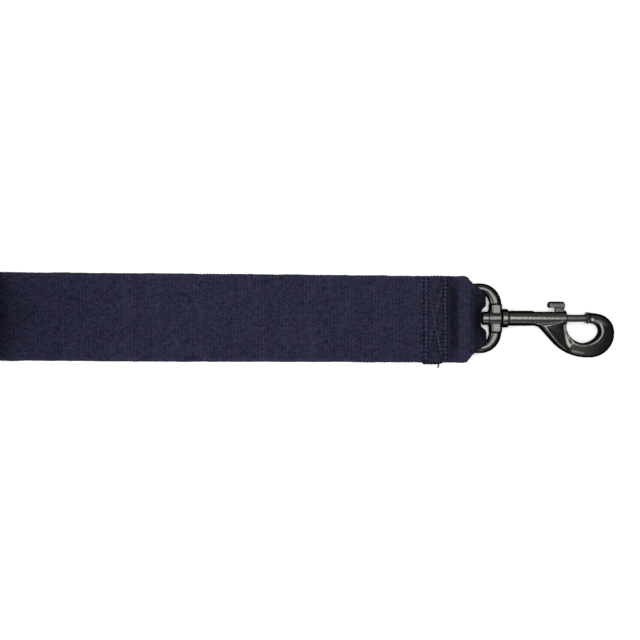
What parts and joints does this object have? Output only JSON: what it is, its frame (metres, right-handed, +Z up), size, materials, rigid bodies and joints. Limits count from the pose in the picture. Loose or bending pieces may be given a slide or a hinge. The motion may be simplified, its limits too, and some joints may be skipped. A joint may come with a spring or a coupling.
{
  "type": "lead rope",
  "caption": "Flat woven strap lead, rolled for storage, with a swivel eye and a spring bolt snap sewn into its end.",
  "frame": {"origin": "under the middle of the whole object, on the floor it lies on", "axes": "+X along the strap towards the snap, +Y across the strap on the thumb lever's side, +Z up"},
  "size_m": [0.4124, 0.05, 0.074],
  "materials": {
    "strap_webbing": "matt navy woven webbing",
    "sewing_thread": "navy polyester thread",
    "black_nickel": "gloss black nickel plate on a casting",
    "spring_wire": "bright drawn wire"
  },
  "bodies": {
    "strap": {"strap_roll": "strap_webbing", "strap_run": "strap_webbing", "strap_underlay": "strap_webbing", "strap_end_loop": "strap_webbing", "seam_row_front": "sewing_thread", "seam_row_rear": "sewing_thread", "seam_cross_left": "sewing_thread", "seam_cross_right": "sewing_thread"},
    "eye": {"swivel_eye": "black_nickel"},
    "snap": {"snap_body": "black_nickel", "swivel_rivet": "black_nickel"},
    "bolt": {"snap_bolt": "black_nickel", "thumb_lever": "black_nickel", "bolt_spring": "spring_wire"}
  },
  "joints": [
    {"name": "eye_swing", "type": "hinge", "parent": "strap", "child": "eye", "pos_m": [0.12505, 0, 0.0054], "axis": [0, -1, 0], "range_deg": [-60, 90], "deforming": ["strap_end_loop"]},
    {"name": "snap_swivel", "type": "hinge", "parent": "eye", "child": "snap", "pos_m": [0.17905, 0, 0.0054], "axis": [-1, 0, 0], "continuous": true},
    {"name": "bolt_slide", "type": "slide", "parent": "snap", "child": "bolt", "axis": [-1, 0, 0], "range_m": [0, 0.0115], "stiffness_N_per_m": 450, "springref_m": -0.01, "deforming": ["bolt_spring"]}
  ]
}
